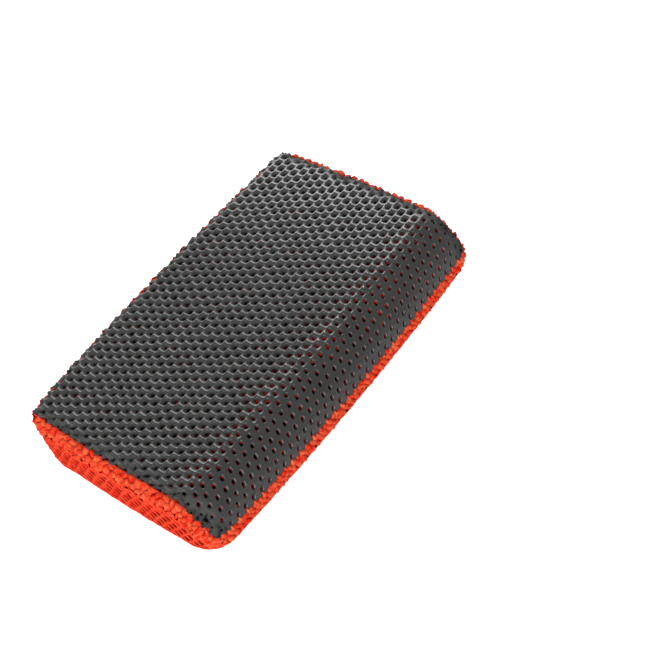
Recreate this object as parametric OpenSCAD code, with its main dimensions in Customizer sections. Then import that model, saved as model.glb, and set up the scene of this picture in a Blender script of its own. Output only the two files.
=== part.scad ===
// Sponge block in a sewn mesh cover: a foam core, a coated working panel that
// wraps round one long side, and a mesh cover for the rest, joined by six seams.
// X runs along the block, -Y is the rounded long side, the block rests on z = 0.

/* [Block] */
// Length over the cover
block_l = 120; // [90:1:160]
// Width over the cover
block_w = 75; // [60:1:110]
// Height over the cover
block_h = 30; // [24:1:42]

/* [Edges] */
// Largest radius of the rounded long side
nose_r = 15; // [10:0.5:20]
// Radius of the sewn edges round the working face
top_edge_r = 3.5; // [2.5:0.5:5]
// Radius between the sole and the two ends
sole_end_r = 11; // [7:0.5:13]
// Radius between the sole and the flat long side
sole_side_r = 9; // [6:0.5:12]
// Radius of the two upright corners at the flat long side
corner_r = 4.5; // [3.5:0.5:8]
// Radius of the two corners at the rounded long side, seen from above
nose_corner_r = 5; // [3.5:0.5:6]

/* [Cloth] */
// Thickness of the mesh cloth of the cover
cloth_t = 2.2; // [1.6:0.1:2.6]
// Thickness of the coating on the working panel
coating_t = 0.6; // [0.4:0.1:0.8]
// Thickness of the knit that carries the coating
knit_t = 1.5; // [1:0.1:1.8]

/* [Seams] */
// Distance of the edge seams from the ends and from the flat long side
seam_inset = 2; // [1.6:0.1:3]
// Height of the closing seam on the rounded long side
closing_seam_z = 17; // [14:0.5:19]
// Width of the groove that a seam runs in
seam_w = 1.2; // [0.8:0.1:1.4]
// Depth of the stitches below the cloth
stitch_recess = 0.3; // [0.1:0.1:0.5]
// Height at which the corner seams end above the sole
corner_seam_low_z = 4; // [3:0.5:8]

/* [Clearances] */
// Gap between the cloth and the foam core
foam_gap = 0.2; // [0.1:0.05:0.4]
// Gap between the coating and its knit, and beside the stitches
layer_gap = 0.1; // [0.05:0.05:0.15]

/* [Hidden] */
$fn = 64;

over = 1;                                  // how far a cut runs past a surface
half_l = block_l / 2;
half_w = block_w / 2;
nose = min(nose_r, block_h / 2);           // the rounded side is limited by the height
panel_t = coating_t + layer_gap + knit_t;  // the working panel, both layers
foam_inset = max(cloth_t, panel_t) + foam_gap;
end_seam_x = half_l - seam_inset;
top_seam_y = half_w - seam_inset;
stitch_w = seam_w - 2 * layer_gap;
stitch_t = max(cloth_t, panel_t);
corner_seam_top_z = block_h - stitch_t - over;

// Rectangle from lo to hi with round corners: radii are those of the corners
// at lower left, lower right, upper right and upper left.
module round_rect(lo, hi, radii) {
    corners = [[lo[0], lo[1]], [hi[0], lo[1]], [hi[0], hi[1]], [lo[0], hi[1]]];
    inward = [[1, 1], [-1, 1], [-1, -1], [1, -1]];
    difference() {
        translate(lo) square(hi - lo);
        for (i = [0:3])
            translate(corners[i]) scallop(radii[i], inward[i]);
    }
}

// What a round corner of radius r leaves out of a square one.
module scallop(r, inward) {
    difference() {
        translate([min(inward[0], 0) * r, min(inward[1], 0) * r]) square(r);
        translate(inward * r) circle(r);
    }
    translate([min(-inward[0], 0) * over, min(-inward[1], 0) * over]) square(over);
}

// Outline across the block (Y, Z), every face moved in by inset.
module cross_section(inset) {
    round_rect([-half_w + inset, inset], [half_w - inset, block_h - inset],
               [nose - inset, sole_side_r - inset, top_edge_r - inset, nose - inset]);
}

// Outline along the block (X, Z).
module side_view(inset) {
    r_top = top_edge_r - inset;
    r_sole = sole_end_r - inset;
    round_rect([-half_l + inset, inset], [half_l - inset, block_h - inset],
               [r_sole, r_sole, r_top, r_top]);
}

// Outline from above (X, Y).
module plan_view(inset) {
    r_nose = nose_corner_r - inset;
    r_side = corner_r - inset;
    round_rect([-half_l + inset, -half_w + inset], [half_l - inset, half_w - inset],
               [r_nose, r_nose, r_side, r_side]);
}

module along_x(length) {
    rotate([90, 0, 90]) linear_extrude(length, center = true) children();
}

// The whole block with every face moved in by inset.
module block(inset) {
    intersection() {
        along_x(block_l - 2 * inset) cross_section(inset);
        rotate([90, 0, 0]) linear_extrude(block_w + 2 * over, center = true) side_view(inset);
        translate([0, 0, -over]) linear_extrude(block_h + 2 * over) plan_view(inset);
    }
}

// Ring across the block between two depths under the surface.
module section_ring(outer, inner) {
    difference() {
        cross_section(outer);
        cross_section(inner);
    }
}

// Where the working panel lies across the block: the top, and the rounded side
// down to the closing seam. Its edges stay back from the seam lines by margin.
module working_zone(margin) {
    low = closing_seam_z + margin;
    top_depth = stitch_t + foam_gap;
    translate([-half_w - over, block_h - top_depth])
        square([half_w + over + top_seam_y - margin, top_depth + over]);
    translate([-half_w - over, low])
        square([nose + over, block_h + over - low]);
}

// A layer of the working panel between two depths under the surface.
module panel_layer(outer, inner) {
    intersection() {
        block(outer);
        along_x(2 * end_seam_x - seam_w) intersection() {
            section_ring(outer, inner);
            working_zone(seam_w / 2);
        }
    }
}

// A length of stitching: the children are its outline across the block.
module stitch_run(x_mid, length) {
    intersection() {
        block(stitch_recess);
        translate([x_mid, 0, 0]) along_x(length) intersection() {
            section_ring(stitch_recess, stitch_t);
            children();
        }
    }
}

// Upright slab through the near corner of the flat long side.
module corner_slab(width, low, high) {
    reach = 2 * stitch_t + corner_r + sole_end_r;
    translate([-half_l + corner_r, half_w - corner_r, low])
        rotate([0, 0, 135])
            translate([-reach / 2, -width / 2, 0])
                cube([reach, width, high - low]);
}

// The children, made for the near end, at the end on the given side: -1 or 1.
module at_end(side) {
    mirror([side > 0 ? 1 : 0, 0, 0]) children();
}

module foam_core() {
    color("gainsboro") block(foam_inset);
}

module clay_coating() {
    color("dimgray") panel_layer(0, coating_t);
}

module working_panel_knit() {
    color("darkred") panel_layer(coating_t + layer_gap, panel_t);
}

module mesh_cover() {
    color("orangered") difference() {
        block(0);
        block(cloth_t);
        along_x(2 * end_seam_x + seam_w) intersection() {
            difference() {
                translate([-half_w - over, -over]) square([block_w + 2 * over, block_h + 2 * over]);
                cross_section(stitch_t + foam_gap / 2);
            }
            working_zone(-seam_w / 2);
        }
        for (side = [-1, 1])
            at_end(side) corner_slab(seam_w, corner_seam_low_z, corner_seam_top_z);
    }
}

module top_edge_seam() {
    color("firebrick") stitch_run(0, 2 * end_seam_x - seam_w)
        translate([top_seam_y - stitch_w / 2, block_h - stitch_t])
            square([stitch_w, stitch_t]);
}

module closing_seam() {
    color("firebrick") stitch_run(0, 2 * end_seam_x - seam_w)
        translate([-half_w, closing_seam_z - stitch_w / 2])
            square([nose, stitch_w]);
}

// The seam round one end: over the top edge and down the rounded side.
module end_seam(side) {
    color("firebrick") at_end(side) stitch_run(-end_seam_x, stitch_w)
        working_zone(-stitch_w / 2);
}

// The upright seam at one corner of the flat long side.
module corner_seam(side) {
    color("firebrick") at_end(side) intersection() {
        difference() {
            block(stitch_recess);
            block(cloth_t);
        }
        corner_slab(stitch_w, corner_seam_low_z + layer_gap, corner_seam_top_z - layer_gap);
    }
}

foam_core();
clay_coating();
working_panel_knit();
mesh_cover();
top_edge_seam();
closing_seam();
end_seam(-1);  // near_end_seam
end_seam(1);  // far_end_seam
corner_seam(-1);  // near_corner_seam
corner_seam(1);  // far_corner_seam
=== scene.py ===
"""Looks of the sponge rubbing block: foam sewn into a coated working panel and a red mesh cover.

The fabric surfaces are built in millimetres and scaled to metres when they become objects. Most are
nets of cells laid out on a chart. A chart maps two distances along a fabric to a place on the block,
and the fabric's height is measured out from there.
"""

import math

import bpy
import numpy as np
from mathutils import Matrix, Vector


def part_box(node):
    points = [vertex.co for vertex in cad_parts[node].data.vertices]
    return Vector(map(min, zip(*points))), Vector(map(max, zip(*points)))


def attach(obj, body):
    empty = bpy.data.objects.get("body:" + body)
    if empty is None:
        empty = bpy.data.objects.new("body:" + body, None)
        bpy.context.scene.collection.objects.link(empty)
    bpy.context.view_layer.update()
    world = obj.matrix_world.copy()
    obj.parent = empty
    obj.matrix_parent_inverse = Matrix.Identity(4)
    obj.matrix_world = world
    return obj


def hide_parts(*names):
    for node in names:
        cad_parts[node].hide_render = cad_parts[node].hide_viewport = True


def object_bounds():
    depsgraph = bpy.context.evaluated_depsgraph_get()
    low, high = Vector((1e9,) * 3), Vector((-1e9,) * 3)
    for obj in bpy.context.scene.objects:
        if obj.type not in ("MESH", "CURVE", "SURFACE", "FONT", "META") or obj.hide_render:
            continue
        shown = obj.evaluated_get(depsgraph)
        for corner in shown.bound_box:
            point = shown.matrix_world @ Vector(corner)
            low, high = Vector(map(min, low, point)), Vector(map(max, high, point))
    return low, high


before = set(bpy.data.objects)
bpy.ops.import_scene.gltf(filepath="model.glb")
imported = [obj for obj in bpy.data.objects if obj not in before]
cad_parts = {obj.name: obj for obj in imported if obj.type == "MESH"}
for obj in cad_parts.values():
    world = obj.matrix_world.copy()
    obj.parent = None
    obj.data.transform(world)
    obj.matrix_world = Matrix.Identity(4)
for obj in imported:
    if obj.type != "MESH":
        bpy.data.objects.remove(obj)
cad_low, cad_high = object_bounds()

MM = 0.001

# ---------------- sizes, in millimetres

END_SKIN = 0.3  # how far the knots stand out of the chart at the ends
SIDE_SKIN = 0.7  # how far the yarns stand out of it at the long sides
HALF_L = cad_high.x / MM - END_SKIN
HALF_W = cad_high.y / MM - SIDE_SKIN
HEIGHT = cad_high.z / MM
END_SEAM_X = sum(p.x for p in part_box("far_end_seam")) / 2 / MM
TOP_SEAM_Y = sum(p.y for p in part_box("top_edge_seam")) / 2 / MM
CLOSING_Z = sum(p.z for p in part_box("closing_seam")) / 2 / MM

TOP_R = 3.5  # rounding of the long edge beside the top
SOLE_R = 10.5  # rounding of the long edge beside the sole
NOSE_R = HEIGHT / 2
END_TOP_R = 4.5  # rounding of the ends where they meet the top and the side
END_SOLE_R = 11.5  # rounding of the ends where they meet the sole
END_NOSE_R = 6.5
SIDE_BOW = 0.05  # how much narrower the block is at its ends, as a share
BELLY = 0.3  # how far the ends bulge at half height
NOSE_TUCK = 4.4  # how far the nose draws in at the sole
END_BOW = 0.015  # how much shorter it is at its sides, as a share

COAT_A = (3.1, 0.0)  # steps between the coated panel's cells
COAT_B = (1.45, 2.6)
MESH_A = (0.0, 3.8)  # steps between the cover's cells
MESH_B = (2.3, 1.9)
END_BAND = 6.6  # widths of the gathered bands beside the seams
TOP_BAND = 5.0
CLOSING_BAND = 4.6
INNER_STEP = 2.5  # spacing of the points of the plain inner faces
PANEL_INNER = -2.5  # heights of the inner faces
COVER_INNER = -2.4

# ---------------- small helpers


def smooth(x, low, high):
    t = np.clip((x - low) / (high - low), 0.0, 1.0)
    return t * t * (3.0 - 2.0 * t)


def sink(past, depth, softness):
    """How far a fabric has turned under, at a distance past the line where it starts to."""
    return depth * (1.0 - np.exp(-past / softness))


def chance(*columns):
    """A repeatable number from 0 to 1 for each row."""
    total = 0.0
    for value, weight in zip(columns, (12.9898, 78.233, 37.719)):
        total = total + np.asarray(value, float) * weight
    return np.modf(np.abs(np.sin(total)) * 43758.5453)[0]


def ripple(u, v, wave, seed):
    """Smooth noise of about unit size whose waves are wave long."""
    rng = np.random.default_rng(seed)
    total = np.zeros(np.shape(u))
    for _ in range(7):
        turn, phase = rng.uniform(0.0, 2.0 * math.pi, 2)
        length = wave * rng.uniform(0.7, 1.5)
        along = u * math.cos(turn) + v * math.sin(turn)
        total += np.sin(along * 2.0 * math.pi / length + phase)
    return total / math.sqrt(7.0)


# ---------------- the block's section

ARC = math.pi / 2.0
TOP_LEN = 2.0 * HALF_W - TOP_R - NOSE_R
SOLE_LEN = 2.0 * HALF_W - SOLE_R - NOSE_R
SIDE_LEN = HEIGHT - TOP_R - SOLE_R
S_NOSE = TOP_LEN
S_SOLE = S_NOSE + 2.0 * ARC * NOSE_R
S_CORNER = S_SOLE + SOLE_LEN
S_SIDE = S_CORNER + ARC * SOLE_R
S_TOP_ARC = S_SIDE + SIDE_LEN
S_LOOP = S_TOP_ARC + ARC * TOP_R


def section(s, inset):
    """The place and outward normal, across and up, at s along the section, inset from it."""
    s = np.mod(s + TOP_R, S_LOOP) - TOP_R  # a little before the top is kept negative
    pieces = (
        (-TOP_R, (HALF_W - TOP_R, HEIGHT - TOP_R), TOP_R, None),
        (0.0, (HALF_W - TOP_R, HEIGHT), None, (-1.0, 0.0)),
        (S_NOSE, (-HALF_W + NOSE_R, NOSE_R), NOSE_R, None),
        (S_SOLE, (-HALF_W + NOSE_R, 0.0), None, (1.0, 0.0)),
        (S_CORNER, (HALF_W - SOLE_R, SOLE_R), SOLE_R, None),
        (S_SIDE, (HALF_W, SOLE_R), None, (0.0, 1.0)),
        (S_TOP_ARC, (HALF_W - TOP_R, HEIGHT - TOP_R), TOP_R, None),
    )
    turned = {1: ARC, 2: ARC, 3: 3.0 * ARC, 4: 3.0 * ARC, 5: 4.0 * ARC, 6: 4.0 * ARC}
    y = np.zeros(s.shape)
    z = np.zeros(s.shape)
    ny = np.zeros(s.shape)
    nz = np.ones(s.shape)
    for k, (start, (py, pz), radius, run) in enumerate(pieces):
        on = s >= start
        along = s[on] - start
        if radius:
            angle = turned.get(k, 0.0) + along / radius
            if k == 0:
                angle = ARC + s[on] / radius
            deep = np.minimum(inset[on], radius - 0.05)
            ny[on], nz[on] = np.cos(angle), np.sin(angle)
            y[on] = py + (radius - deep) * ny[on]
            z[on] = pz + (radius - deep) * nz[on]
        else:
            angle = turned[k]
            ny[on], nz[on] = math.cos(angle), math.sin(angle)
            y[on] = py + run[0] * along - inset[on] * ny[on]
            z[on] = pz + run[1] * along - inset[on] * nz[on]
    return y, z, ny, nz


def end_radius(s):
    """How far the block's ends are rounded at s along the section."""
    s = np.mod(s, S_LOOP)
    stations = (
        (0.0, END_TOP_R),
        (S_NOSE, END_TOP_R + 1.0),
        (S_NOSE + 11.0, END_NOSE_R + 1.0),
        (S_NOSE + 24.0, END_NOSE_R),
        (S_SOLE, END_SOLE_R),
        (S_CORNER, END_SOLE_R),
        (S_SIDE, END_TOP_R + 0.5),
        (S_LOOP, END_TOP_R),
    )
    return np.interp(s, *zip(*stations))


def bowed(x, y, z):
    """Bows the long sides and the ends outwards, and draws the nose in towards the sole."""
    across = 1.0 - SIDE_BOW * (x / HALF_L) ** 2
    along = 1.0 - END_BOW * (y / HALF_W) ** 2
    z = np.asarray(z, float)
    tuck = NOSE_TUCK * np.clip(1.0 - z / (NOSE_R + 3.0), 0.0, 1.0) ** 1.2
    y = y + tuck * smooth(-y, HALF_W - 32.0, HALF_W - 5.0)
    belly = BELLY * (1.0 - ((z - NOSE_R) / NOSE_R) ** 2)
    x = x * along + belly * smooth(np.abs(x), HALF_L - 12.0, HALF_L) * np.sign(x)
    return np.stack([x, y * across, z], axis=-1)


def tube(u, s):
    """The chart round the block: u runs lengthwise and over the ends, s round the section."""
    radius = end_radius(s)
    bend = HALF_L - radius
    over = np.maximum(np.abs(u) - bend, 0.0)
    angle = np.minimum(over / radius, ARC)
    beyond = np.maximum(over - radius * ARC, 0.0)
    x = np.where(over > 0.0, bend + radius * np.sin(angle), np.abs(u)) * np.sign(u)
    inset = radius * (1.0 - np.cos(angle)) + beyond
    y, z, _, _ = section(s, inset)
    return bowed(x, y, z)


def band_tube(u, s):
    """The tube chart, with the top carried nearly straight on where it would round off to the side."""
    flat = tube(u, np.maximum(s, 0.0))
    past = np.maximum(-s, 0.0)
    flat[..., 1] += past * 0.95
    flat[..., 2] -= past * past * 0.16
    return flat


def end_table():
    """The chart of an end face, as places on a grid of y and of distance up the face."""
    across = np.linspace(-HALF_W + 0.05, HALF_W - 0.05, 181)
    steps = 181
    swing = 0.5 - 0.5 * np.cos(np.linspace(0.0, math.pi, steps))
    nose = np.maximum(-HALF_W + NOSE_R - across, 0.0)
    top_in = np.maximum(across - (HALF_W - TOP_R), 0.0)
    sole_in = np.maximum(across - (HALF_W - SOLE_R), 0.0)
    round_top = TOP_R - np.sqrt(TOP_R**2 - top_in**2)
    round_nose = NOSE_R - np.sqrt(np.maximum(NOSE_R**2 - nose**2, 0.0))
    high = HEIGHT - round_top - round_nose
    low = SOLE_R - np.sqrt(SOLE_R**2 - sole_in**2) + round_nose
    z = low[:, None] + (high - low)[:, None] * swing[None, :]
    y = np.repeat(across[:, None], steps, axis=1)
    inset, s = depth_in_section(y, z)
    radius = end_radius(s)
    rise = np.clip(radius - inset, 0.0, radius)
    x = HALF_L - radius + np.sqrt(np.maximum(radius**2 - rise**2, 0.0))
    run = np.sqrt(np.diff(z, axis=1) ** 2 + np.diff(x, axis=1) ** 2)
    t = np.concatenate([np.zeros((len(across), 1)), np.cumsum(run, axis=1)], axis=1)
    middle = np.array([np.interp(NOSE_R, z[k], t[k]) for k in range(len(across))])
    t += (HALF_L - END_SOLE_R + ARC * END_SOLE_R + NOSE_R - END_SOLE_R) - middle[:, None]
    return across, t, x, z


def depth_in_section(y, z):
    """How deep inside the section's outline a point is, and the s where the outline is nearest."""
    middle = HEIGHT / 2.0
    radius = np.where(y < 0.0, NOSE_R, np.where(z > middle, TOP_R, SOLE_R))
    qy = np.abs(y) - HALF_W + radius
    qz = np.abs(z - middle) - middle + radius
    outside = np.hypot(np.maximum(qy, 0.0), np.maximum(qz, 0.0))
    inset = radius - outside - np.minimum(np.maximum(qy, qz), 0.0)
    corner = (qy > 0.0) & (qz > 0.0)
    angle = np.arctan2(np.maximum(qy, 1e-9), np.maximum(qz, 1e-9))  # 0 on the flat, ARC on the side
    upper = z > middle
    flat = qz >= qy
    s = np.where(upper, HALF_W - TOP_R - y, S_SOLE + y + HALF_W - NOSE_R)
    s = np.where(~flat & (y > 0.0), S_SIDE + z - SOLE_R, s)
    s = np.where(~flat & (y < 0.0), S_NOSE + ARC * NOSE_R, s)
    s = np.where(corner & upper & (y < 0.0), S_NOSE + angle * NOSE_R, s)
    s = np.where(corner & ~upper & (y < 0.0), S_SOLE - angle * NOSE_R, s)
    s = np.where(corner & upper & (y > 0.0), S_LOOP - angle * TOP_R, s)
    s = np.where(corner & ~upper & (y > 0.0), S_CORNER + angle * SOLE_R, s)
    return inset, s


END_Y, END_T, END_X, END_Z = end_table()
SOLE_SHIFT = S_SOLE + HALF_W - NOSE_R  # s on the sole is y plus this


def end_flat(u, s):
    """The end face before it is bowed: x, y and z."""
    y = np.clip(s - SOLE_SHIFT, END_Y[0], END_Y[-1])
    place = (y - END_Y[0]) / (END_Y[1] - END_Y[0])
    first = np.clip(place.astype(int), 0, len(END_Y) - 2)
    share = place - first
    t = np.abs(u)
    out = []
    for column in (first, first + 1):
        low = END_T[column, 0]
        high = END_T[column, -1]
        inside = np.clip(t, low, high)
        x = np.empty(t.shape)
        z = np.empty(t.shape)
        for c in np.unique(column):
            on = column == c
            x[on] = np.interp(inside[on], END_T[c], END_X[c])
            z[on] = np.interp(inside[on], END_T[c], END_Z[c])
        x -= np.maximum(low - t, 0.0) + np.maximum(t - high, 0.0)
        out.append((x, z))
    x = out[0][0] * (1.0 - share) + out[1][0] * share
    z = out[0][1] * (1.0 - share) + out[1][1] * share
    return x * np.sign(u), y, z


def end_face(u, s):
    """The chart of the ends: u runs up the end, on from the sole's, and s across, as on the sole."""
    return bowed(*end_flat(u, s))


def end_place(u, s):
    """For a point of the end chart: its u on the tube chart, and its s there."""
    _, y, z = end_flat(u, s)
    inset, ring = depth_in_section(y, z)
    radius = end_radius(ring)
    angle = np.arccos(np.clip(1.0 - inset / radius, -1.0, 1.0))
    along = np.where(inset < radius, radius * angle, radius * ARC + inset - radius)
    return HALF_L - radius + along, ring


def seam_u(s):
    """Where the end seams lie on the tube chart."""
    radius = end_radius(s)
    bend = HALF_L - radius
    return bend + radius * np.arcsin(np.clip((END_SEAM_X - bend) / radius, 0.0, 1.0))


S_TOP_SEAM = -TOP_R * math.asin((TOP_SEAM_Y - HALF_W + TOP_R) / TOP_R)
S_CLOSING = S_NOSE + NOSE_R * math.acos((CLOSING_Z - NOSE_R) / NOSE_R)


def corner_u(s):
    """Where the cover's long piece hands over to the end flaps, on the tube chart."""
    turn = np.interp(
        np.mod(s, S_LOOP),
        (S_CLOSING, S_CLOSING + 8.0, S_SOLE, S_CORNER, S_SIDE, S_LOOP),
        (ARC * 0.5, ARC * 0.4, 0.0, 0.0, ARC * 0.5, ARC * 0.5),
    )
    radius = end_radius(s)
    return HALF_L - radius + radius * turn


# ---------------- nets of cells

MIDDLE = np.array([0.0, 0.0, HEIGHT / 2.0])
OUTWARD = np.array([0.25, 0.45, 1.0])  # weights a place by these to tell outwards on a flat block
NO_TRIANGLES = np.zeros((0, 3), int)


def lifted(chart, u, s, height):
    """Places at a height above the chart, along its outward normal."""
    step = 0.04
    here = chart(u, s)
    along = chart(u + step, s) - chart(u - step, s)
    across = chart(u, s + step) - chart(u, s - step)
    normal = np.cross(along, across)
    length = np.linalg.norm(normal, axis=-1, keepdims=True)
    normal = normal / np.maximum(length, 1e-9)
    squeezed = (here - MIDDLE) * OUTWARD
    facing = np.sign((normal * squeezed).sum(axis=-1, keepdims=True))
    return here + normal * facing * height[..., None]


def hexagon(a, b, pinch=0.0, slant=0.0, sag=(0.0, 0.0)):
    """Twelve points round the cell of a lattice: its corners and the middles of its edges.

    pinch shortens the edges between neighbours along b, and slant tilts them. sag moves the middles
    of the other edges.
    """
    a = np.array(a)
    b = np.array(b)
    near = [a, b, b - a, -a, -b, a - b]
    corners = []
    for k in range(6):
        p = near[k]
        q = near[(k + 1) % 6]
        double = 2.0 * (p[0] * q[1] - p[1] * q[0])
        pp = p @ p
        qq = q @ q
        corners.append(((q[1] * pp - p[1] * qq) / double, (p[0] * qq - q[0] * pp) / double))
    shift = pinch * (b - 2.0 * a) / 6.0 + slant * b / np.linalg.norm(b)
    corners = np.array(corners) + np.array([1.0, -1.0] * 3)[:, None] * shift
    middles = (corners + np.roll(corners, -1, axis=0)) / 2.0
    middles += np.array([0.0, 1.0, 1.0] * 2)[:, None] * np.array(sag)
    return np.stack([corners, middles], axis=1).reshape(12, 2)


def lattice(a, b, origin, low, high):
    """The centres of a lattice's cells inside a rectangle."""
    a = np.array(a)
    b = np.array(b)
    side = max(high[0] - low[0], high[1] - low[1])
    count = int(side / min(np.linalg.norm(a), np.linalg.norm(b))) + 4
    steps = np.arange(-count, count + 1)
    m, n = np.meshgrid(steps, steps, indexing="ij")
    spots = np.array(origin) + m.reshape(-1, 1) * a + n.reshape(-1, 1) * b
    inside = (spots[:, 0] > low[0]) & (spots[:, 0] < high[0])
    inside &= (spots[:, 1] > low[1]) & (spots[:, 1] < high[1])
    return spots[inside]


def cells(centres, polygon):
    """The shared border points of the cells, and each cell's twelve indices into them."""
    border = centres[:, None, :] + polygon[None, :, :]
    keys = np.round((border.reshape(-1, 2) + 0.00314159) / 0.01).astype(np.int64)
    _, first, back = np.unique(keys, axis=0, return_index=True, return_inverse=True)
    return border.reshape(-1, 2)[first], back.reshape(len(centres), len(polygon))


def oval(centres, own, across, along):
    """From each centre to its cell's border points, and to the matching points of an oval hole."""
    reach = own - centres[:, None, :]
    angle = np.arctan2(reach[..., 1], reach[..., 0])
    hole = np.stack([across[:, None] * np.cos(angle), along[:, None] * np.sin(angle)], axis=-1)
    return reach, hole


def ring_spots(centres, reach, hole, share):
    """The places of a ring that lies a share of the way from the border to the hole."""
    return centres[:, None, :] + reach * (1.0 - share) + hole * share


def net(name, centres, polygon, border_height, rings, place, closed, painted_shade=None):
    """A mesh of cells, each of them rings of points round a hole.

    border_height gives the heights of the border points, and rings the places and heights of each
    ring inwards. place puts the points on the block, closed says which holes are filled, and tone, a
    painted shade, is added to the height that the material reads, from which it paints its shade.
    """
    shared, index = cells(centres, polygon)
    points = [shared]
    heights = [border_height(shared)]
    own = shared[index]
    offset = len(shared)
    ring_index = [index]
    count = len(centres) * len(polygon)
    for spots, height in rings(centres, own, heights[0][index]):
        points.append(spots.reshape(-1, 2))
        heights.append(height.reshape(-1))
        ring_index.append(offset + np.arange(count).reshape(index.shape))
        offset += count
    faces = []
    for outer, inner in zip(ring_index[:-1], ring_index[1:]):
        quads = np.stack([outer, np.roll(outer, -1, 1), np.roll(inner, -1, 1), inner], axis=-1)
        faces.append(quads.reshape(-1, 4))
    quads = np.concatenate(faces)
    last = ring_index[-1][closed]
    points.append(points[-1].reshape(len(centres), len(polygon), 2)[closed].mean(axis=1))
    heights.append(heights[-1].reshape(len(centres), len(polygon))[closed].mean(axis=1))
    hub = offset + np.arange(len(last))
    hubs = np.repeat(hub[:, None], last.shape[1], 1)
    caps = np.stack([last, np.roll(last, -1, 1), hubs], axis=-1)
    uv = np.concatenate(points)
    height = np.concatenate(heights)
    shade = height if painted_shade is None else height + painted_shade(uv[:, 0], uv[:, 1])
    return make_mesh(name, place(uv[:, 0], uv[:, 1], height), quads, caps.reshape(-1, 3), shade)


def make_mesh(name, places, quads, triangles, height):
    """An object from places in millimetres, with smooth faces that look outwards."""
    places = np.asarray(places) * MM
    faces = [tuple(q) for q in quads.tolist()] + [tuple(t) for t in triangles.tolist()]
    mesh = bpy.data.meshes.new(name)
    mesh.from_pydata(places.tolist(), [], faces)
    mesh.update()
    sample = quads[:: max(1, len(quads) // 4000)]
    corners = places[sample]
    normals = np.cross(corners[:, 2] - corners[:, 0], corners[:, 3] - corners[:, 1])
    from_middle = corners.mean(axis=1) - MIDDLE * MM
    if (normals * from_middle * OUTWARD).sum() < 0.0:
        mesh.flip_normals()
    mesh.shade_smooth()
    # The height is kept for the materials, which paint shade in deep places from it.
    rise = mesh.attributes.new("rise", "FLOAT", "POINT")
    rise.data.foreach_set("value", np.asarray(height, np.float32))
    piece = bpy.data.objects.new(name, mesh)
    bpy.context.scene.collection.objects.link(piece)
    return piece


def grid(u, s):
    """The points of a rectangular grid, and the quads between them."""
    gu, gs = np.meshgrid(u, s, indexing="ij")
    number = np.arange(len(u) * len(s)).reshape(len(u), len(s))
    quads = np.stack([number[:-1, :-1], number[1:, :-1], number[1:, 1:], number[:-1, 1:]], axis=-1)
    return gu.reshape(-1), gs.reshape(-1), quads.reshape(-1, 4)


def patch(name, chart, u_range, s_range, height):
    """A plain sheet on a chart, nearly at one height, for a fabric's inner face."""
    u = np.linspace(u_range[0], u_range[1], int((u_range[1] - u_range[0]) / INNER_STEP) + 2)
    s = np.linspace(s_range[0], s_range[1], int((s_range[1] - s_range[0]) / INNER_STEP) + 2)
    u, s, quads = grid(u, s)
    # The inner face lies deep, so its material paints it wholly in its painted shade colour.
    rise = height + 0.12 * ripple(u, s, 7.0, 5)
    return make_mesh(name, lifted(chart, u, s, rise), quads, NO_TRIANGLES, rise)


# ---------------- materials


def set_inputs(tree, node, inputs):
    """Gives each of a node's inputs a value, or a link if it is another node's output."""
    for name, value in inputs.items():
        if isinstance(value, bpy.types.NodeSocket):
            tree.links.new(value, node.inputs[name])
        else:
            node.inputs[name].default_value = value


def add_node(tree, kind, inputs, **settings):
    node = tree.nodes.new("ShaderNode" + kind)
    for name, value in settings.items():
        setattr(node, name, value)
    set_inputs(tree, node, inputs)
    return node


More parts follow.
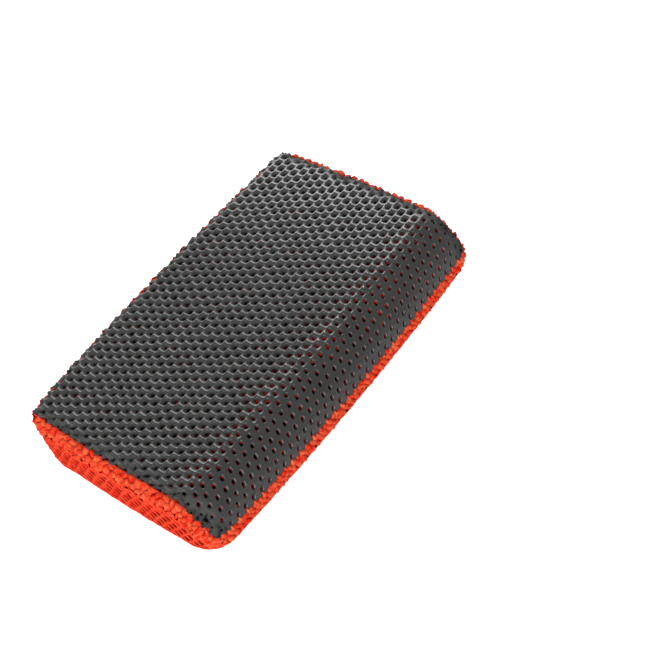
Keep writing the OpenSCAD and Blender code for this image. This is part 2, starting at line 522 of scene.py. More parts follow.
def material(
    name, dark, light, wave, rough, bump, specular, sheen=0.0, deep=None, reach=None, dull=0.0
):
    """A fabric or rubber finish: two tones in patches, with a fine grain.

    wave is the size of the patches, rough the range of roughness, and bump the grain's size, strength
    and height. A fabric with deep places has painted shade there: it goes from the dark colour deep
    to its full colour and gloss over the range of heights reach, and dull is how much rougher its
    deep places are.
    """
    made = bpy.data.materials.new(name)
    made.use_nodes = True
    tree = made.node_tree
    where = add_node(tree, "TexCoord", {}).outputs["Object"]
    size, strength, high = bump
    broad = add_node(tree, "TexNoise", {"Vector": where, "Scale": 1.0 / (wave * MM), "Detail": 4.0})
    fine = add_node(tree, "TexNoise", {"Vector": where, "Scale": 1.0 / (size * MM), "Detail": 3.0})
    grain = fine.outputs["Fac"]
    patches = add_node(
        tree, "MapRange", {"Value": broad.outputs["Fac"], "From Min": 0.36, "From Max": 0.64}
    )
    tones = add_node(
        tree, "Mix", {"Factor": patches.outputs["Result"], "A": (*dark, 1.0), "B": (*light, 1.0)},
        data_type="RGBA",
    )
    gloss = add_node(tree, "MapRange", {"Value": grain, "To Min": rough[0], "To Max": rough[1]})
    relief = add_node(tree, "Bump", {"Strength": strength, "Distance": high * MM, "Height": grain})
    look = {
        "Base Color": tones.outputs["Result"],
        "Roughness": gloss.outputs["Result"],
        "Specular IOR Level": specular,
        "Normal": relief.outputs["Normal"],
        "Sheen Weight": sheen,
        "Sheen Roughness": 0.5,
        "Sheen Tint": (1.0, 0.2, 0.1, 1.0),
    }
    # Painted shade: deep places take the dark colour deep and weaker reflections, and are made rougher
    # by dull.
    if reach:
        depth = add_node(tree, "Attribute", {}, attribute_name="rise").outputs["Fac"]
        low, full = reach
        raised = add_node(tree, "MapRange", {"Value": depth, "From Min": low, "From Max": full})
        height = raised.outputs["Result"]
        shaded = add_node(
            tree, "Mix", {"Factor": height, "A": (*deep, 1.0), "B": tones.outputs["Result"]},
            data_type="RGBA",
        )
        duller = add_node(
            tree, "MapRange",
            {"Value": depth, "From Min": -0.6, "From Max": -0.08, "To Min": dull, "To Max": 0.0},
        )
        total = add_node(
            tree, "Math", {0: gloss.outputs["Result"], 1: duller.outputs["Result"]}, operation="ADD"
        )
        shine = add_node(tree, "Math", {0: height, 1: specular}, operation="MULTIPLY")
        look["Base Color"] = shaded.outputs["Result"]
        look["Roughness"] = total.outputs["Value"]
        look["Specular IOR Level"] = shine.outputs["Value"]
    set_inputs(tree, tree.nodes["Principled BSDF"], look)
    return made


# Each deep colour is painted shade, taken on in the finish's deep places: holes, hole walls and
# grooves.
COATING = material(
    "rubber_coating", dark=(0.0205, 0.0205, 0.0195), light=(0.0285, 0.0285, 0.027),
    deep=(0.003, 0.0027, 0.0024), reach=(-1.12, -0.7), dull=0.5,
    wave=6.0, rough=(0.22, 0.34), bump=(0.5, 0.25, 0.06), specular=1.0,
)
MESH_RED = material(
    "mesh_yarn", dark=(0.86, 0.024, 0.008), light=(1.0, 0.085, 0.030),
    deep=(0.10, 0.0, 0.0), reach=(-0.55, -0.05),
    wave=1.6, rough=(0.75, 0.95), bump=(0.35, 0.7, 0.2), specular=0.1, sheen=0.06,
)
BAND_RED = material(
    "gathered_yarn", dark=(0.88, 0.020, 0.006), light=(1.0, 0.17, 0.065),
    deep=(0.16, 0.0, 0.0), reach=(-0.85, 0.1),
    wave=1.8, rough=(0.75, 0.95), bump=(0.4, 0.7, 0.2), specular=0.1, sheen=0.06,
)
KNIT_RED = material(
    "knit_yarn", dark=(0.65, 0.014, 0.008), light=(0.90, 0.035, 0.014),
    deep=(0.05, 0.0, 0.0), reach=(-2.3, -0.9),
    wave=1.4, rough=(0.75, 0.95), bump=(0.3, 0.5, 0.1), specular=0.1,
)
THREAD_RED = material(
    "sewing_thread", dark=(0.7, 0.02, 0.008), light=(0.9, 0.05, 0.018),
    wave=1.0, rough=(0.6, 0.8), bump=(0.25, 0.5, 0.08), specular=0.2,
)
FOAM_GREY = material(
    "open_foam", dark=(0.075, 0.0725, 0.07), light=(0.105, 0.1025, 0.10),
    wave=1.2, rough=(0.85, 1.0), bump=(0.6, 0.9, 0.3), specular=0.25,
)


def finish(piece, look, slot, *nodes):
    """Gives a piece its material, hangs it on the root body, and hides the CAD nodes it stands for.
    slot is not used.
    """
    piece.data.materials.append(look)
    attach(piece, "root")
    if nodes:
        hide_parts(*nodes)
    return piece


# ---------------- camera and light


def aim(azimuth, elevation, roll):
    """Axes of a camera that looks at the block from a direction, in degrees."""
    az, el, turn = (math.radians(v) for v in (azimuth, elevation, roll))
    back = Vector((math.cos(el) * math.cos(az), math.cos(el) * math.sin(az), math.sin(el)))
    right = Vector((-math.sin(az), math.cos(az), 0.0))
    up = back.cross(right)
    tilted_right = right * math.cos(turn) - up * math.sin(turn)
    tilted_up = right * math.sin(turn) + up * math.cos(turn)
    return tilted_right, tilted_up, back


VIEW_AZIMUTH = -126.90
VIEW_ELEVATION = 48.41
VIEW_ROLL = 19.31
VIEW_DISTANCE = 0.4307
VIEW_TARGET = Vector((0.01589, -0.01136, 0.01541))
VIEW_LENS = 82.6

right, up, back = aim(VIEW_AZIMUTH, VIEW_ELEVATION, VIEW_ROLL)
camera_data = bpy.data.cameras.new("camera")
camera_data.sensor_width = 36.0
camera_data.lens = VIEW_LENS
camera_data.clip_start = 0.01
camera = bpy.data.objects.new("camera", camera_data)
turned = Matrix((right, up, back)).transposed().to_4x4()
camera.matrix_world = Matrix.Translation(VIEW_TARGET + back * VIEW_DISTANCE) @ turned
bpy.context.scene.collection.objects.link(camera)
bpy.context.scene.camera = camera


def softbox(name, azimuth, elevation, distance, width, height, power):
    """A lamp that faces the block from a direction."""
    data = bpy.data.lights.new(name, "AREA")
    data.shape = "RECTANGLE"
    data.size = width
    data.size_y = height
    data.energy = power
    lamp = bpy.data.objects.new(name, data)
    across, upward, behind = aim(azimuth, elevation, 0.0)
    rotation = Matrix((across, upward, behind)).transposed().to_4x4()
    lamp.matrix_world = Matrix.Translation(behind * distance) @ rotation
    bpy.context.scene.collection.objects.link(lamp)


softbox("back_softbox", 60.0, 14.0, 0.9, 1.2, 0.30, 2.9)
softbox("far_glint", 46.0, 39.0, 0.9, 0.36, 0.32, 2.5)
softbox("front_fill", -156.0, 22.0, 1.4, 1.7, 1.3, 18.0)

world = bpy.data.worlds.new("studio")
bpy.context.scene.world = world
world.use_nodes = True
ambient = {"Color": (1.0, 1.0, 1.0, 1.0), "Strength": 0.4}
set_inputs(world.node_tree, world.node_tree.nodes["Background"], ambient)

floor_mesh = bpy.data.meshes.new("floor")
reach = 4.0
floor_mesh.from_pydata(
    [(-reach, -reach, 0.0), (reach, -reach, 0.0), (reach, reach, 0.0), (-reach, reach, 0.0)],
    [],
    [(0, 1, 2, 3)],
)
floor = bpy.data.objects.new("floor", floor_mesh)
floor.location.z = -0.0004
bpy.context.scene.collection.objects.link(floor)
paper = bpy.data.materials.new("paper")
paper.use_nodes = True
paper_tree = paper.node_tree
seen = add_node(paper_tree, "LightPath", {}).outputs["Is Camera Ray"]
glow = add_node(paper_tree, "Math", {0: seen, 1: 0.8}, operation="MULTIPLY")
set_inputs(paper_tree, paper_tree.nodes["Principled BSDF"], {
    "Base Color": (0.9, 0.9, 0.9, 1.0),
    "Roughness": 0.9,
    "Emission Color": (1.0, 1.0, 1.0, 1.0),
    "Emission Strength": glow.outputs["Value"],
})
floor_mesh.materials.append(paper)

# ---------------- the coated working panel

COAT_CELL = hexagon(COAT_A, COAT_B, 0.25, 0.3, (-0.16, 0.13))
COAT_ORIGIN = (0.0, 1.3)
COAT_S0 = S_TOP_SEAM - 1.4  # the panel's long edges
COAT_S1 = S_CLOSING - 0.1
COAT_UNDER = 1.7  # how far its edges turn under
COAT_ROLL = (0.3, 0.4)  # how far they roll outwards as they do, and how softly
LOBE = 3.4  # how far apart the scallops of its end edges are


def coat_end(s):
    """Where the panel's end edges lie, scalloped by the stitches."""
    number = np.floor(s / LOBE)
    lobe = np.abs(np.sin(math.pi * s / LOBE)) ** 0.8
    return seam_u(s) - 1.1 + (0.8 + 0.7 * chance(number, 3.0)) * lobe


def coat_teeth(u):
    """Where the panel's edge over the nose lies, notched once for each cell."""
    phase = np.mod(u / COAT_A[0], 1.0)
    return COAT_S1 - 0.15 - 0.7 * np.abs(phase - 0.5)


def coat_tip(u, s):
    """How near the tips of the nose are, from 0 to 1 at the very corner."""
    away = np.hypot(np.maximum(seam_u(s) - np.abs(u), 0.0), np.maximum(COAT_S1 - s, 0.0))
    return 1.0 - smooth(away, 3.0, 9.0)


def coat_worn(u, s):
    """How gathered the panel is beside its seams, from 0 to 1."""
    end = seam_u(s) - np.abs(u) + 0.9 * ripple(u, s, 9.0, 11)
    top = s - COAT_S0 + 0.5 * ripple(u, s, 9.0, 12)
    beside_end = 1.0 - smooth(end, 1.6, 4.4)
    beside_top = 1.0 - smooth(top, 1.0, 3.6)
    return np.maximum(np.maximum(beside_end, beside_top), coat_tip(u, s))


def coat_folds(u, s):
    """Fine creases in the gathered rubber, from 0 to 1 at the bottom of a crease."""
    return np.exp(-((ripple(u, s, 3.6, 29) / 0.3) ** 2))


def coat_painted_shade(u, s):
    """Painted shade: gathered rubber is duller and darker, most in its creases and round the tips."""
    # painted shade, strongest beside the end seams low on the nose and round the tips
    beside_end = 1.0 - smooth(seam_u(s) - np.abs(u), 3.5, 8.0)
    low = smooth(s, COAT_S1 - 23.0, COAT_S1 - 13.0)
    dark = 0.5 * np.maximum(beside_end * low, coat_tip(u, s))
    return -0.3 * coat_worn(u, s) - dark - 0.36 * coat_folds(u, s) * coat_worn(u, s)


def coat_nose(s):
    """From 0 on the top to 1 on the nose, where the panel is stretched."""
    return smooth(s, S_NOSE - 3.0, S_NOSE + 8.0)


def coat_bend(s):
    """How near the bend onto the nose is, where the holes are pulled widest open."""
    return np.exp(-(((s - S_NOSE - 1.0) / 5.0) ** 2))


def coat_place(u, s, height):
    """Puts the net on the block, a little warped, creased where gathered, its edges turned under."""
    u = u + 0.16 * ripple(u, s, 14.0, 21) + 0.05 * ripple(u, s, 3.0, 22)
    s = s + 0.16 * ripple(u, s, 14.0, 23) + 0.05 * ripple(u, s, 3.0, 24)
    edge = coat_end(s)
    over = np.maximum(np.abs(u) - edge, 0.0)
    rim = np.exp(-(((edge - np.abs(u)) - 0.8) / 0.9) ** 2)
    worn = coat_worn(u, s)
    crumple = 0.30 * ripple(u, s, 1.9, 26) - 0.55 * np.abs(ripple(u, s, 3.0, 25))
    between = (1.0 - np.abs(np.sin(math.pi * s / LOBE))) ** 1.5
    beside_edge = 1.0 - smooth(edge - np.abs(u), 0.8, 4.5)
    crumple = crumple - 0.6 * between * beside_edge * (1.0 - coat_nose(s))
    deepest = -0.6 + 0.25 * coat_nose(s)
    crumple = 0.1 + np.maximum(crumple - 0.25 * coat_folds(u, s), deepest)
    height = height + worn * crumple + 0.26 * rim + 0.10 * ripple(u, s, 18.0, 27)
    u = np.where(over > 0.0, (edge + sink(over, *COAT_ROLL)) * np.sign(u), u)
    height = height - sink(over, COAT_UNDER, 0.7)
    above = np.maximum(COAT_S0 - s, 0.0)
    s = np.where(above > 0.0, COAT_S0 - sink(above, *COAT_ROLL), s)
    height = height - sink(above, COAT_UNDER, 0.7)
    teeth = coat_teeth(u)
    below = np.maximum(s - teeth, 0.0)
    s = np.where(below > 0.0, teeth + sink(below, *COAT_ROLL), s)
    height = height - sink(below, COAT_UNDER, 0.6)
    return lifted(tube, u, s, height)


def coat_rings(centres, own, top):
    """The funnel of each cell, down to its hole. On the nose it is a plate round a slanted oval."""
    u = centres[:, 0]
    s = centres[:, 1]
    nose = coat_nose(s)
    worn = coat_worn(u, s)
    pick = chance(u, s)
    depth = 0.95 * (1.0 - 0.35 * worn) * (0.85 + 0.3 * pick)
    bend = coat_bend(s)
    long = (0.42 + 0.30 * nose + 0.16 * bend) * (1.0 - 0.75 * worn) * (0.85 + 0.3 * chance(s, u))
    short = (0.42 + 0.06 * nose + 0.08 * bend) * (1.0 - 0.85 * worn)
    lean = np.stack([0.1 * (pick - 0.5), 0.15 * (chance(u, 2.0 * s) - 0.5)], axis=-1)
    reach, hole = oval(centres, own, short, long)
    hole = hole + lean[:, None, :]
    hole[..., 0] -= 0.4 * nose[:, None] * hole[..., 1]
    flat = nose[:, None]
    broad = smooth(u, 0.0, 55.0)[:, None]
    # each ring's share of the way to the hole, on the top and on the nose, and how far it has
    # fallen: beside a narrow ridge, beside a wide one, and in a flat plate
    profile = (
        (0.14, 0.14, 0.07, 0.01, -0.03),
        (0.36, 0.40, 0.31, 0.09, -0.07),
        (0.70, 0.82, 0.72, 0.52, -0.05),
        (1.0, 1.0, 1.0, 1.0, 0.45),
    )
    for on_top, on_nose, narrow, wide, plate in profile:
        share = (on_top + (on_nose - on_top) * nose)[:, None, None]
        funnel = narrow * (1.0 - broad) + wide * broad
        fall = funnel * (1.0 - flat) * depth[:, None] + plate * flat
        yield ring_spots(centres, reach, hole, share), top * (1.0 - share[..., 0]) - fall
    yield centres[:, None, :] + hole * 0.94, np.zeros_like(top) - fall - 0.25


def coat_border(shared):
    """Ridges run in waves along the rows; between two cells of a row the ridge is a low saddle."""
    worn = coat_worn(shared[:, 0], shared[:, 1])
    row = (shared[:, 1] - COAT_ORIGIN[1]) / COAT_B[1]
    step = (shared[:, 0] - COAT_ORIGIN[0] - row * COAT_B[0]) / COAT_A[0]
    saddle = (np.abs(np.mod(row, 1.0) - 0.5) < 0.1) & (np.abs(step - np.round(step)) < 0.1)
    uneven = 0.10 * (chance(shared[:, 0], shared[:, 1]) - 0.5) * (1.0 + 2.0 * worn)
    low = 0.4 * (1.0 - coat_nose(shared[:, 1])) * (1.0 - 0.75 * smooth(shared[:, 0], 20.0, 60.0))
    return uneven - np.where(saddle, low, 0.0)


coat_centres = lattice(
    COAT_A, COAT_B, COAT_ORIGIN, (-HALF_L - 1.2, COAT_S0 - 1.2), (HALF_L + 1.2, COAT_S1 + 1.6)
)
coat_centres = coat_centres[np.abs(coat_centres[:, 0]) < seam_u(coat_centres[:, 1]) + 1.3]
coat_closed = coat_worn(coat_centres[:, 0], coat_centres[:, 1]) > 0.8
panel_coating = net(
    "panel_coating", coat_centres, COAT_CELL, coat_border, coat_rings, coat_place, coat_closed,
    coat_painted_shade,
)
finish(panel_coating, COATING, "coating", "clay_coating")


def knit_rings(centres, own, top):
    """The red knit behind the coating: a wall under each hole."""
    nose = coat_nose(centres[:, 1])
    worn = coat_worn(centres[:, 0], centres[:, 1])
    picked = chance(centres[:, 1], centres[:, 0]) > 0.85
    shown = np.maximum(np.maximum(nose, coat_bend(centres[:, 1])), picked)
    wide = (0.8 - 0.26 * shown) * (1.0 - 0.5 * worn)
    high = (0.66 + 0.16 * nose) * (1.0 - 0.5 * worn)
    reach, hole = oval(centres, own, wide, high)
    start = -(1.2 - 0.8 * nose) - 0.2 - 0.5 * (1.0 - shown)
    for share, low in ((0.6, 0.0), (1.0, 0.05), (0.97, 0.9)):
        spots = ring_spots(centres, reach, hole, share)
        yield spots, np.repeat((start - low)[:, None], own.shape[1], axis=1)


def knit_border(shared):
    """The knit comes nearer to the coating where it is stretched over the nose."""
    return -1.5 + 0.8 * coat_nose(shared[:, 1])


knit_centres = coat_centres[np.abs(coat_centres[:, 0]) < seam_u(coat_centres[:, 1]) - 1.0]
knit_s = knit_centres[:, 1]
knit_centres = knit_centres[(knit_s > COAT_S0 + 1.0) & (knit_s < COAT_S1 - 0.6)]
panel_knit = net(
    "panel_knit", knit_centres, COAT_CELL, knit_border, knit_rings,
    lambda u, s, h: lifted(tube, u, s, h), np.zeros(len(knit_centres), bool),
)
finish(panel_knit, KNIT_RED, "knit", "working_panel_knit")

panel_inner = patch(
    "panel_inner_face", tube, (-57.0, 57.0), (COAT_S0 + 0.5, COAT_S1 + 0.5), PANEL_INNER
)
finish(panel_inner, KNIT_RED, "knit")

# ---------------- the red mesh cover

MESH_CELL = hexagon(MESH_A, MESH_B)
MESH_ORIGIN = (0.0, SOLE_SHIFT)
FAR_OFF = 99.0  # stands for having no seam nearby


def cover_shut(u, s):
    """How closed the cover's holes are beside its bands, from 0 to 1."""
    top = S_LOOP + S_TOP_SEAM - s
    nose = s - S_CLOSING
    corner = np.where(s > S_CORNER + 4.0, corner_u(s) - np.abs(u), FAR_OFF)
    shut = np.maximum(1.0 - smooth(top, 4.6, 8.2), 1.0 - smooth(nose, 4.0, 7.5))
    return np.maximum(shut, 0.9 * (1.0 - smooth(corner, 0.5, 3.5)))


def flap_shut(u, s):
    """How closed the end flaps' holes are beside their seams, from 0 to 1."""
    along, ring = end_place(u, s)
    away = along - seam_u(ring)
    beside = (ring > S_CORNER + 4.0) & (ring < S_LOOP + S_TOP_SEAM)
    corner = np.where(beside, along - corner_u(ring), FAR_OFF)
    seam = np.where((ring < S_CLOSING) | (ring > S_LOOP + S_TOP_SEAM), away, FAR_OFF)
    return np.maximum(1.0 - smooth(seam, 6.0, 9.0), 0.9 * (1.0 - smooth(corner, 0.5, 3.5)))


def mesh_rings(shut_at, high, wide):
    """The rounded yarns round each hole; where the fabric is gathered the hole closes up."""

    def rings(centres, own, top):
        shut = shut_at(centres[:, 0], centres[:, 1])
        pick = chance(centres[:, 0], centres[:, 1])
        size = (1.0 - 0.85 * shut) * (0.9 + 0.2 * pick)
        reach, hole = oval(centres, own, high * size, wide * size)
        for share, fall in ((0.25, 0.04), (0.5, 0.16), (0.78, 0.45), (1.0, 0.95), (0.97, 1.4)):
            yield ring_spots(centres, reach, hole, share), top - fall * (1.0 - 0.15 * shut[:, None])

    return rings


def mesh_border(shut_at):
    """The uneven crests of the yarns, lumpier where the fabric is gathered."""

    def border(shared):
        shut = shut_at(shared[:, 0], shared[:, 1])
        uneven = chance(shared[:, 0], shared[:, 1]) - 0.5
        return 0.16 * uneven + shut * (0.15 + 0.5 * uneven)

    return border


def yarn_drift(u, s):
    """A little unevenness in how the yarns run."""
    u = u + 0.14 * ripple(u, s, 13.0, 31) + 0.06 * ripple(u, s, 2.6, 32)
    s = s + 0.14 * ripple(u, s, 13.0, 33) + 0.06 * ripple(u, s, 2.6, 34)
    return u, s


def cover_place(u, s, height):
    """Puts the long piece on the block and turns it under at the corner seams."""
    u, s = yarn_drift(u, s)
    dive = np.where(s > S_CORNER, np.maximum(np.abs(u) - corner_u(s) + 0.1, 0.0), 0.0)
    return lifted(tube, u, s, height - sink(dive, 1.6, 0.8))


def flap_place(u, s, height):
    """Puts a flap on its end and turns it under at the corner seam. On the sole it runs on."""
    u, s = yarn_drift(u, s)
    along, ring = end_place(u, s)
    past = np.maximum(corner_u(ring) - along, 0.0)
    from_middle = np.abs(ring - (S_SOLE + S_CORNER) / 2.0)
    off_sole = smooth(from_middle, SOLE_LEN / 2.0 - 2.0, SOLE_LEN / 2.0 + 3.0)
    return lifted(end_face, u, s, height - sink(past, 1.4 * off_sole, 0.8))


CLOSED = 0.97  # a hole more closed than this is filled

around_cells = lattice(
    MESH_A, MESH_B, MESH_ORIGIN, (-64.0, S_CLOSING + 2.6), (64.0, S_LOOP + S_TOP_SEAM - 3.0)
)
hand_over = corner_u(around_cells[:, 1])
on_sole = (around_cells[:, 1] > S_SOLE) & (around_cells[:, 1] < S_CORNER)
cover_cells = around_cells[np.abs(around_cells[:, 0]) < hand_over + np.where(on_sole, 0.0, 1.2)]
cover_mesh = net(
    "cover_long_piece", cover_cells, MESH_CELL, mesh_border(cover_shut),
    mesh_rings(cover_shut, 1.12, 0.72), cover_place,
    cover_shut(cover_cells[:, 0], cover_cells[:, 1]) > CLOSED,
)
finish(cover_mesh, MESH_RED, "mesh", "mesh_cover")

end_cells = lattice(
    MESH_A, MESH_B, MESH_ORIGIN,
    (-96.0, SOLE_SHIFT - HALF_W - 1.0), (96.0, SOLE_SHIFT + HALF_W + 1.0),
)


def flap(name, side):
    """One end flap, on the far end for side 1 and on the near end for side -1."""
    spots = end_cells[end_cells[:, 0] * side > 0.0]
    up = np.abs(spots[:, 0])
    along, ring = end_place(spots[:, 0], spots[:, 1])
    over_sole = (spots[:, 1] > S_SOLE) & (spots[:, 1] < S_CORNER)
    kept = np.where(over_sole, up >= HALF_L - END_SOLE_R, along > corner_u(ring) - 1.6)
    sewn = (ring < S_CLOSING) | (ring > S_LOOP + S_TOP_SEAM)
    kept = np.where(sewn, along > seam_u(ring) + END_BAND - 2.6, kept)
    y = np.clip(spots[:, 1] - SOLE_SHIFT, END_Y[0], END_Y[-1])
    column = np.clip(((y - END_Y[0]) / (END_Y[1] - END_Y[0])).astype(int), 0, len(END_Y) - 1)
    inside = (up < END_T[column, -1]) & ((up > END_T[column, 0] - 0.5) | over_sole)
    inside &= np.abs(spots[:, 1] - SOLE_SHIFT) < HALF_W
    spots = spots[kept & inside]
    made = net(
        name, spots, MESH_CELL, mesh_border(flap_shut), mesh_rings(flap_shut, 1.15, 0.44),
        flap_place, flap_shut(spots[:, 0], spots[:, 1]) > CLOSED,
    )
    return finish(made, MESH_RED, "mesh")


near_flap = flap("near_end_flap", -1)
far_flap = flap("far_end_flap", 1)

cover_inner = patch(
    "cover_inner_face", tube, (-58.5, 58.5), (S_CLOSING, S_LOOP + S_TOP_SEAM), COVER_INNER
)
finish(cover_inner, MESH_RED, "mesh")


def inner_end(name, side):
    """The inner face behind an end flap."""
    margin = 2.5
    u, s, quads = grid(
        np.linspace(HALF_L - END_SOLE_R, 85.0, 26),
        np.linspace(SOLE_SHIFT - HALF_W + margin, SOLE_SHIFT + HALF_W - margin, 40),
    )
    column = ((s - SOLE_SHIFT - END_Y[0]) / (END_Y[1] - END_Y[0])).astype(int)
    u = np.clip(u, END_T[column, 0] + 1.0, END_T[column, -1] - 1.0)
    # Set deep, so the material paints the face wholly in its painted shade colour.
    rise = np.full(u.shape, COVER_INNER)
    made = make_mesh(name, lifted(end_face, u * side, s, rise), quads, NO_TRIANGLES, rise)
    return finish(made, MESH_RED, "mesh")


near_inner = inner_end("near_inner_face", -1)
far_inner = inner_end("far_inner_face", 1)

# ---------------- gathered bands

BAND_UNDER = 1.3  # how far the bands' edges turn under
BAND_A = (0.0, 2.7)
BAND_B = (2.0, 1.35)
BAND_CELL = hexagon(BAND_A, BAND_B)


def puffs(name, spots, polygon, place, tall, groove=0.75):
    """A band of gathered knots: a low groove round each cell and a dome inside it."""

    def border(shared):
        return -groove + 0.3 * (chance(shared[:, 0], shared[:, 1]) - 0.5)

    def rings(centres, own, top):
        pick = chance(centres[:, 0], centres[:, 1])
        aside = np.stack([chance(centres[:, 1], pick), chance(pick, centres[:, 0])], axis=-1) - 0.5
        middle = centres + 0.7 * aside
        crown = tall * (0.6 + 0.8 * pick)[:, None]
        for share in (0.10, 0.26, 0.5, 0.78):
            spread = own * (1.0 - share) + middle[:, None, :] * share
            round_up = math.sqrt(1.0 - (1.0 - share) ** 2.0)
            yield spread, top + (crown - top) * round_up

    return net(name, spots, polygon, border, rings, place, np.ones(len(spots), bool))


def lumps(u, s):
    """The yarn's own unevenness."""
    return 0.14 * ripple(u, s, 1.6, 48) + 0.08 * ripple(u, s, 0.9, 49)


def end_band(name, side):
    """The gathered band beside an end seam. Its u is measured from the seam."""

    def place(u, s, height):
        u = u + 0.4 * ripple(u, s, 4.0, 41)
        s = s + 0.4 * ripple(u, s, 4.0, 42)
        out = seam_u(s) + u
        low = np.maximum(-0.2 - u, 0.0)
        far = np.maximum(u - END_BAND + 0.6, 0.0)
        height = height - sink(low, BAND_UNDER, 0.6) - sink(far, BAND_UNDER, 0.9)
        height = height - 0.35 * (1.0 - smooth(u, 0.3, 2.5))
        height = height - 0.6 * (1.0 - smooth(s, S_TOP_SEAM, 3.0))
        height = height + lumps(u, s) - 0.25
        return lifted(band_tube, out * side, s, height)

    spots = lattice(
        BAND_A, BAND_B, (0.75, 0.0), (-0.2, S_TOP_SEAM - 0.2), (END_BAND, S_CLOSING + 1.5)
    )
    return finish(puffs(name, spots, BAND_CELL, place, 0.7, 0.85), BAND_RED, "mesh")


near_band = end_band("near_end_band", -1)
far_band = end_band("far_end_band", 1)


def top_band_place(u, s, height):
    """The band below the top edge seam. Its s is measured down from the seam."""
    u = u + 0.25 * ripple(u, s, 5.0, 43)
    s = s + 0.2 * ripple(u, s, 5.0, 44)
    low = np.maximum(1.0 - s, 0.0)
    far = np.maximum(s - TOP_BAND + 0.6, 0.0)
    height = height - sink(low, BAND_UNDER, 0.6) - sink(far, BAND_UNDER, 0.8)
    height = height - 1.4 * (1.0 - smooth(s, 1.0, 4.5))
    return lifted(tube, u, S_LOOP + S_TOP_SEAM - s, height)


TOP_BAND_A = (3.4, 0.0)
TOP_BAND_B = (1.7, 2.7)
top_spots = lattice(
    TOP_BAND_A, TOP_BAND_B, (0.0, 1.2), (-HALF_L + 0.5, 0.0), (HALF_L - 0.5, TOP_BAND)
)
top_band = puffs("top_edge_band", top_spots, hexagon(TOP_BAND_A, TOP_BAND_B), top_band_place, 0.5)
finish(top_band, BAND_RED, "mesh")


def closing_band_place(u, s, height):
    """The band beside the closing seam. Its s is measured on from the seam."""
    u = u + 0.25 * ripple(u, s, 3.5, 45)
    s = s + 0.2 * ripple(u, s, 3.5, 46)
    low = np.maximum(-1.2 - s, 0.0)
    far = np.maximum(s - CLOSING_BAND + 0.7, 0.0)
    height = height - sink(low, BAND_UNDER, 0.5) - sink(far, BAND_UNDER, 0.8) + lumps(u, s)
    return lifted(tube, u, S_CLOSING + s, height)


def tooth_place(u, s, height):
    """The teeth of the cover that reach between the notches of the coating."""
    u = u + 0.2 * ripple(u, s, 6.0, 47)
    return lifted(tube, u, S_CLOSING + s, height)


CLOSING_A = (2.0, 0.0)
CLOSING_B = (1.0, 1.5)
closing_spots = lattice(
    CLOSING_A, CLOSING_B, (0.0, -0.4), (-HALF_L - 1.5, -1.3), (HALF_L + 1.5, CLOSING_BAND - 0.6)
)
closing_band = puffs(
    "closing_band", closing_spots, hexagon(CLOSING_A, CLOSING_B), closing_band_place, 0.7
)
finish(closing_band, BAND_RED, "mesh")

round_tooth = np.linspace(0.0, 2.0 * math.pi, 12, endpoint=False)
TOOTH = np.stack(
    [
        1.0 * np.sin(round_tooth) * np.sin(round_tooth / 2.0) ** 0.8 - 0.35 * np.cos(round_tooth),
        -1.35 * np.cos(round_tooth),
    ],
    axis=-1,
)
tooth_u = np.arange(-18, 19) * COAT_A[0]
tooth_spots = np.stack([tooth_u, np.full(len(tooth_u), -0.6)], axis=-1)
closing_teeth = puffs("closing_teeth", tooth_spots, TOOTH, tooth_place, 0.55, 0.35)
finish(closing_teeth, BAND_RED, "mesh")

# ---------------- seam threads


def stitches(name, route, node):
    """A run of stitches along route, a list of places with outward directions, in millimetres."""
    spots, outward = route
    run = np.linalg.norm(np.diff(spots, axis=0), axis=1)
    at = np.concatenate([[0.0], np.cumsum(run)])
    pitch = 3.0
    count = max(1, int(at[-1] / pitch))
    sides = 8
    steps = 9
    radius = 0.24
    arch = 0.35
    share = np.linspace(0.0, 1.0, steps)
    thick = radius * np.sqrt(np.clip(np.sin(math.pi * np.clip(share, 0.02, 0.98)), 0.05, 1.0))
    turn = np.linspace(0.0, 2.0 * math.pi, sides, endpoint=False)
    places = []
    quads = []
    for k in range(count):
        begin = at[-1] * (k + 0.1) / count
        end = at[-1] * (k + 0.9) / count
        here = begin + (end - begin) * share
        middle = np.stack([np.interp(here, at, spots[:, c]) for c in range(3)], axis=-1)
        away = np.stack([np.interp(here, at, outward[:, c]) for c in range(3)], axis=-1)
        away /= np.linalg.norm(away, axis=1, keepdims=True)
        forward = np.gradient(middle, axis=0)
        forward /= np.linalg.norm(forward, axis=1, keepdims=True)
        side = np.cross(forward, away)
        middle = middle + away * (arch * np.sin(math.pi * share) - arch)[:, None]
        start = len(places) * sides
        for step in range(steps):
            ring = away[step] * np.cos(turn)[:, None] + side[step] * np.sin(turn)[:, None]
            places.append(middle[step] + ring * thick[step])
        for step in range(steps - 1):
            for j in range(sides):
                a = start + step * sides + j
                b = start + step * sides + (j + 1) % sides
                quads.append((a, b, b + sides, a + sides))
    rise = np.zeros(len(places) * sides)
    made = make_mesh(name, np.concatenate(places), np.array(quads), NO_TRIANGLES, rise)
    return finish(made, THREAD_RED, "stitching", node)


def route(chart, u, s, height):
    """Places and outward directions along a line on a chart."""
    inner = lifted(chart, u, s, np.full(u.shape, height))
    outer = lifted(chart, u, s, np.full(u.shape, height + 1.0))
    return inner, outer - inner


SEAM_DEEP = -0.5  # heights of the threads
CORNER_DEEP = -0.6
RUN = 160  # points along a seam

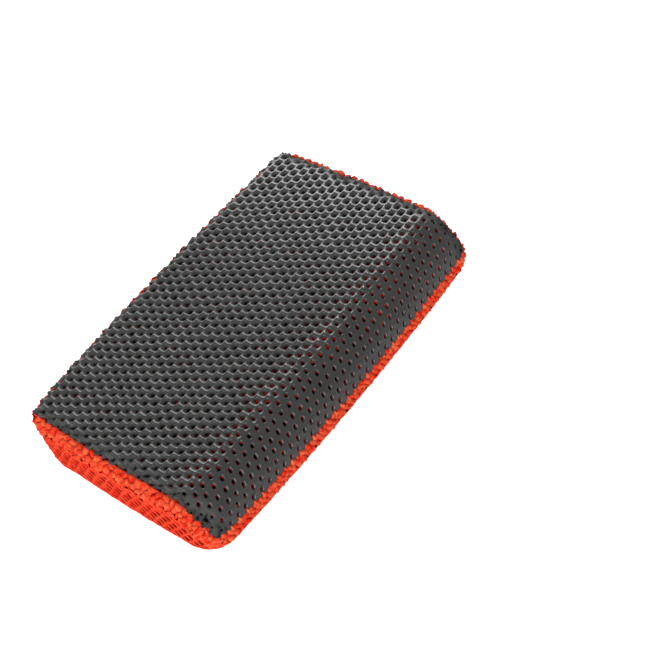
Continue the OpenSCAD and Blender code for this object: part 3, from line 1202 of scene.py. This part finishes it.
run_s = np.linspace(S_TOP_SEAM, S_CLOSING, RUN)
run_u = np.linspace(-HALF_L + 3.0, HALF_L - 3.0, RUN)
top_edge = np.full(RUN, S_TOP_SEAM)
closing = np.full(RUN, S_CLOSING)
corner_s = np.linspace(S_SIDE - 4.0, S_TOP_ARC - 1.5, 40)
for name, chart, u, s, height, node in (
    ("near_end_stitches", band_tube, -seam_u(run_s), run_s, SEAM_DEEP, "near_end_seam"),
    ("far_end_stitches", band_tube, seam_u(run_s), run_s, SEAM_DEEP, "far_end_seam"),
    ("top_edge_stitches", tube, run_u, top_edge, SEAM_DEEP, "top_edge_seam"),
    ("closing_stitches", tube, run_u, closing, SEAM_DEEP, "closing_seam"),
    ("near_corner_stitches", tube, -corner_u(corner_s), corner_s, CORNER_DEEP, "near_corner_seam"),
    ("far_corner_stitches", tube, corner_u(corner_s), corner_s, CORNER_DEEP, "far_corner_seam"),
):
    stitches(name, route(chart, u, s, height), node)

# ---------------- the foam block


def foam_block():
    """The cut foam: the block's shape set in from the fabric."""
    deep = 3.0
    corner = 6.0
    rings = 65
    round_s = np.linspace(0.0, S_LOOP, 97)[:-1]
    y, z, _, _ = section(round_s, np.full(round_s.shape, deep))
    middle = MIDDLE[1:]
    outline = np.stack([y, z], axis=-1) - middle
    lengths = np.linspace(-HALF_L + deep, HALF_L - deep, rings)
    places = []
    for x in lengths:
        from_end = HALF_L - deep - abs(x)
        shrink = corner - math.sqrt(max(corner**2 - max(corner - from_end, 0.0) ** 2, 0.0))
        scale = np.array([1.0 - shrink / HALF_W, 1.0 - shrink / (HEIGHT / 2.0)])
        flat = outline * scale + middle
        places.append(bowed(np.full(len(flat), x), flat[:, 0], flat[:, 1]))
    around = len(round_s)
    places = np.concatenate(places)
    number = np.arange(rings * around).reshape(rings, around)
    wrapped = np.roll(number, -1, axis=1)
    quads = np.stack([number[:-1], number[1:], wrapped[1:], wrapped[:-1]], axis=-1).reshape(-1, 4)
    ends = []
    for ring, hub_x in ((number[0], lengths[0]), (number[-1], lengths[-1])):
        hub = len(places)
        places = np.concatenate([places, [MIDDLE + (hub_x, 0.0, 0.0)]])
        loop = ring if hub_x < 0.0 else ring[::-1]
        ends += [(a, b, hub) for a, b in zip(loop, np.roll(loop, -1))]
    made = make_mesh("foam_block", places, quads, np.array(ends), np.full(len(places), -0.5))
    return finish(made, FOAM_GREY, "foam", "foam_core")


foam = foam_block()

# ---------------- the colour view

bpy.context.scene.view_settings.view_transform = "Standard"
